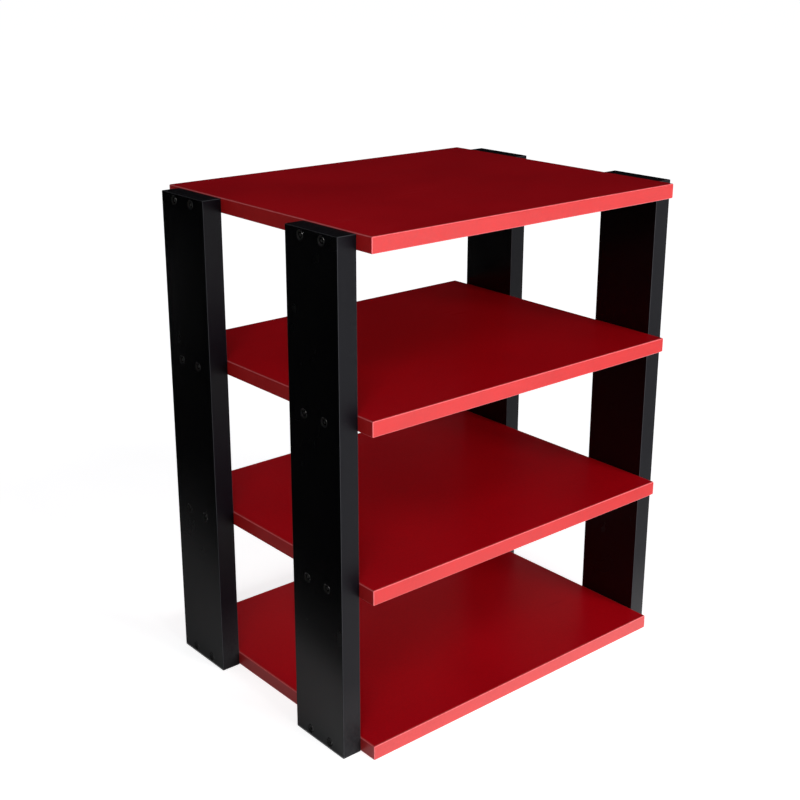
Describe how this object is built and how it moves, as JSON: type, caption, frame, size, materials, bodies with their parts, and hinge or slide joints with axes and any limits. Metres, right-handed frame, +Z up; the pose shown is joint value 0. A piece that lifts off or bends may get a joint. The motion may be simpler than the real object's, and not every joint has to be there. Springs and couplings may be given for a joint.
{
  "type": "audio equipment rack",
  "caption": "Open rack for hi-fi equipment, with flat edge-banded shelves screwed at their ends between upright boards.",
  "frame": {"origin": "on the floor, under the centre of the rack", "axes": "+Z up, the front of the rack faces -Y, and +X is to the right seen from the front"},
  "size_m": [0.5522, 0.41, 0.64],
  "materials": {
    "red_board": "satin red laminate on chipboard, finely textured, with broad soft reflections",
    "red_band": "satin red plastic edge band with rounded arrises worn slightly paler",
    "black_board": "satin black laminate on chipboard, finely textured",
    "black_band": "satin black plastic edge band with rounded arrises",
    "black_screw": "blackened steel with a dull sheen"
  },
  "bodies": {
    "root": {"bottom_shelf_board": "red_board", "bottom_shelf_front_band": "red_band", "bottom_shelf_left_band": "red_band", "bottom_shelf_back_band": "red_band", "bottom_shelf_right_band": "red_band", "lower_shelf_board": "red_board", "lower_shelf_front_band": "red_band", "lower_shelf_left_band": "red_band", "lower_shelf_back_band": "red_band", "lower_shelf_right_band": "red_band", "upper_shelf_board": "red_board", "upper_shelf_front_band": "red_band", "upper_shelf_left_band": "red_band", "upper_shelf_back_band": "red_band", "upper_shelf_right_band": "red_band", "top_shelf_board": "red_board", "top_shelf_front_band": "red_band", "top_shelf_left_band": "red_band", "top_shelf_back_band": "red_band", "top_shelf_right_band": "red_band", "front_left_post_board": "black_board", "front_left_post_edging": "black_band", "front_left_bottom_screw_1": "black_screw", "front_left_bottom_screw_2": "black_screw", "front_left_lower_screw_1": "black_screw", "front_left_lower_screw_2": "black_screw", "front_left_upper_screw_1": "black_screw", "front_left_upper_screw_2": "black_screw", "front_left_top_screw_1": "black_screw", "front_left_top_screw_2": "black_screw", "back_left_post_board": "black_board", "back_left_post_edging": "black_band", "back_left_bottom_screw_1": "black_screw", "back_left_bottom_screw_2": "black_screw", "back_left_lower_screw_1": "black_screw", "back_left_lower_screw_2": "black_screw", "back_left_upper_screw_1": "black_screw", "back_left_upper_screw_2": "black_screw", "back_left_top_screw_1": "black_screw", "back_left_top_screw_2": "black_screw", "front_right_post_board": "black_board", "front_right_post_edging": "black_band", "front_right_bottom_screw_1": "black_screw", "front_right_bottom_screw_2": "black_screw", "front_right_lower_screw_1": "black_screw", "front_right_lower_screw_2": "black_screw", "front_right_upper_screw_1": "black_screw", "front_right_upper_screw_2": "black_screw", "front_right_top_screw_1": "black_screw", "front_right_top_screw_2": "black_screw", "back_right_post_board": "black_board", "back_right_post_edging": "black_band", "back_right_bottom_screw_1": "black_screw", "back_right_bottom_screw_2": "black_screw", "back_right_lower_screw_1": "black_screw", "back_right_lower_screw_2": "black_screw", "back_right_upper_screw_1": "black_screw", "back_right_upper_screw_2": "black_screw", "back_right_top_screw_1": "black_screw", "back_right_top_screw_2": "black_screw"}
  },
  "joints": []
}
